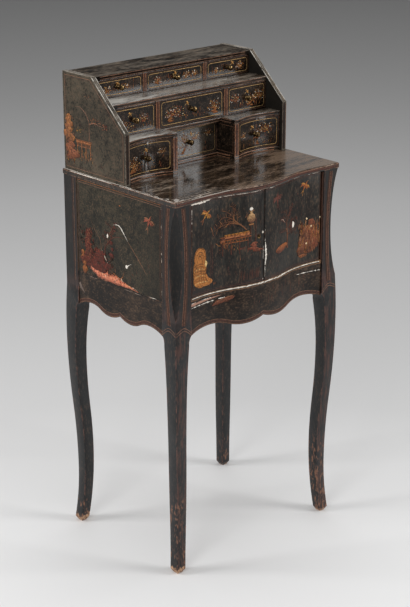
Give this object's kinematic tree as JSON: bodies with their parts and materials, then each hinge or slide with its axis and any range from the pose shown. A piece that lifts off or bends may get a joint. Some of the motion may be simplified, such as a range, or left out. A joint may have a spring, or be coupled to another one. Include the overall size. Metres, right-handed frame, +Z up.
{
  "type": "bonheur du jour writing desk",
  "caption": "Small lacquered writing desk on tall cabriole legs, with a serpentine cupboard under the writing top and a stepped nest of little drawers along its back.",
  "frame": {"origin": "on the floor, under the middle of the desk's bounding box", "axes": "+Z up, the doors and drawers face -Y, +X to the right of someone facing them turned towards +Y"},
  "size_m": [0.427, 0.344, 0.94],
  "materials": {
    "lacquer": "worn black japanned lacquer with gilt decoration",
    "bare_wood": "plain aged softwood and oak",
    "brass": "aged, rubbed on the high spots",
    "iron": "dark forged iron"
  },
  "bodies": {
    "case": {"leg_front_left": "lacquer", "leg_front_right": "lacquer", "leg_back_left": "lacquer", "leg_back_right": "lacquer", "side_apron_left": "lacquer", "side_apron_right": "lacquer", "front_apron": "lacquer", "back_apron": "bare_wood", "side_panel_left": "lacquer", "side_panel_right": "lacquer", "back_panel": "bare_wood", "case_floor": "bare_wood", "table_top": "lacquer", "nest_wing_left": "lacquer", "nest_wing_right": "lacquer", "nest_back": "bare_wood", "nest_top": "lacquer", "upper_tread_board": "lacquer", "lower_tread_board": "lacquer", "nest_base": "lacquer", "upper_dividers": "lacquer", "middle_dividers": "lacquer", "lower_dividers": "lacquer"},
    "drawer_upper_left": {"drawer_upper_left_front": "lacquer", "drawer_upper_left_box": "bare_wood", "drawer_upper_left_knob": "brass"},
    "drawer_upper_centre": {"drawer_upper_centre_front": "lacquer", "drawer_upper_centre_box": "bare_wood", "drawer_upper_centre_knob": "brass"},
    "drawer_upper_right": {"drawer_upper_right_front": "lacquer", "drawer_upper_right_box": "bare_wood", "drawer_upper_right_knob": "brass"},
    "drawer_middle_left": {"drawer_middle_left_front": "lacquer", "drawer_middle_left_box": "bare_wood", "drawer_middle_left_knob": "brass"},
    "drawer_middle_centre": {"drawer_middle_centre_front": "lacquer", "drawer_middle_centre_box": "bare_wood", "drawer_middle_centre_knob": "brass"},
    "drawer_middle_right": {"drawer_middle_right_front": "lacquer", "drawer_middle_right_box": "bare_wood", "drawer_middle_right_knob": "brass"},
    "drawer_lower_left": {"drawer_lower_left_front": "lacquer", "drawer_lower_left_box": "bare_wood", "drawer_lower_left_knob": "brass"},
    "drawer_lower_centre": {"drawer_lower_centre_front": "lacquer", "drawer_lower_centre_box": "bare_wood", "drawer_lower_centre_knob": "brass"},
    "drawer_lower_right": {"drawer_lower_right_front": "lacquer", "drawer_lower_right_box": "bare_wood", "drawer_lower_right_knob": "brass"},
    "door_left": {"door_left": "lacquer", "door_pins_left": "brass", "door_lock": "iron", "keyhole_escutcheon": "brass"},
    "door_right": {"door_right": "lacquer", "door_pins_right": "brass"}
  },
  "joints": [
    {"name": "drawer_upper_left_slide", "type": "slide", "parent": "case", "child": "drawer_upper_left", "axis": [0, -1, 0], "range_m": [0, 0.046]},
    {"name": "drawer_upper_centre_slide", "type": "slide", "parent": "case", "child": "drawer_upper_centre", "axis": [0, -1, 0], "range_m": [0, 0.046]},
    {"name": "drawer_upper_right_slide", "type": "slide", "parent": "case", "child": "drawer_upper_right", "axis": [0, -1, 0], "range_m": [0, 0.046]},
    {"name": "drawer_middle_left_slide", "type": "slide", "parent": "case", "child": "drawer_middle_left", "axis": [0, -1, 0], "range_m": [0, 0.083]},
    {"name": "drawer_middle_centre_slide", "type": "slide", "parent": "case", "child": "drawer_middle_centre", "axis": [0, -1, 0], "range_m": [0, 0.083]},
    {"name": "drawer_middle_right_slide", "type": "slide", "parent": "case", "child": "drawer_middle_right", "axis": [0, -1, 0], "range_m": [0, 0.083]},
    {"name": "drawer_lower_left_slide", "type": "slide", "parent": "case", "child": "drawer_lower_left", "axis": [0, -1, 0], "range_m": [0, 0.104]},
    {"name": "drawer_lower_centre_slide", "type": "slide", "parent": "case", "child": "drawer_lower_centre", "axis": [0, -1, 0], "range_m": [0, 0.075]},
    {"name": "drawer_lower_right_slide", "type": "slide", "parent": "case", "child": "drawer_lower_right", "axis": [0, -1, 0], "range_m": [0, 0.104]},
    {"name": "door_left_hinge", "type": "hinge", "parent": "case", "child": "door_left", "pos_m": [-0.1652, -0.14405, 0.65], "axis": [0, 0, -1], "range_deg": [0, 97]},
    {"name": "door_right_hinge", "type": "hinge", "parent": "case", "child": "door_right", "pos_m": [0.1652, -0.14405, 0.65], "axis": [0, 0, 1], "range_deg": [0, 97]}
  ]
}
